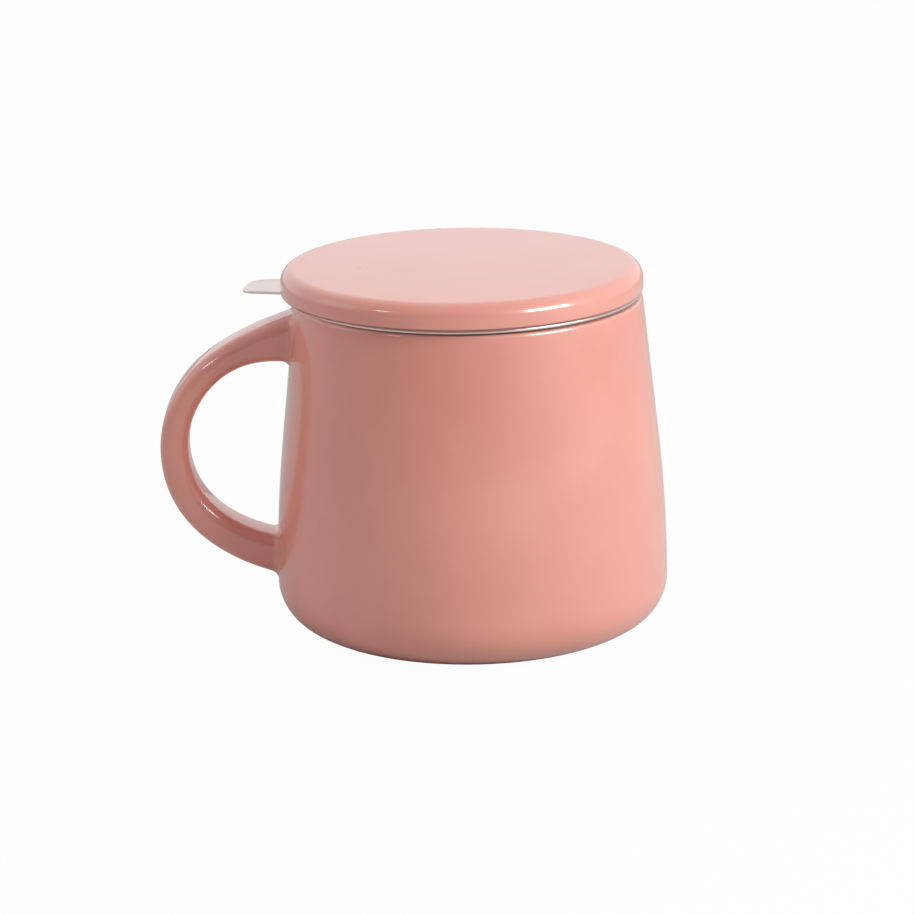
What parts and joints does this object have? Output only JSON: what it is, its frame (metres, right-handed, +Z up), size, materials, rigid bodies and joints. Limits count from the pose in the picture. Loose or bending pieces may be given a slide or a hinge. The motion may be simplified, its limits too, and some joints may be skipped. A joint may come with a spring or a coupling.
{
  "type": "lidded tea mug with infuser",
  "caption": "Glazed tea mug with a side handle, a loose disc lid and a lift-out steel infuser whose flange and thumb tab lie between rim and lid.",
  "frame": {"origin": "on the mug's axis, in the plane that its foot stands on", "axes": "+Z up along the mug's axis, -X towards the handle, +Y to the far side when the handle is on the left"},
  "size_m": [0.1253, 0.097, 0.0919],
  "materials": {
    "glaze_body": "gloss salmon-pink glaze",
    "glaze_handle": "gloss salmon-pink glaze",
    "glaze_lid": "gloss salmon-pink glaze",
    "steel_rim": "fine satin steel",
    "steel_screen": "etched satin steel",
    "steel_base": "fine satin steel",
    "steel_floor": "etched satin steel"
  },
  "bodies": {
    "mug": {"mug_body": "glaze_body", "mug_handle": "glaze_handle"},
    "infuser": {"infuser_rim": "steel_rim", "infuser_wall": "steel_screen", "infuser_base_ring": "steel_base", "infuser_floor": "steel_floor"},
    "lid": {"lid": "glaze_lid"}
  },
  "joints": [
    {"name": "infuser_lift", "type": "slide", "parent": "mug", "child": "infuser", "axis": [0, 0, 1], "range_m": [0, 0.09]},
    {"name": "lid_lift", "type": "slide", "parent": "infuser", "child": "lid", "axis": [0, 0, 1], "range_m": [0, 0.06]}
  ]
}
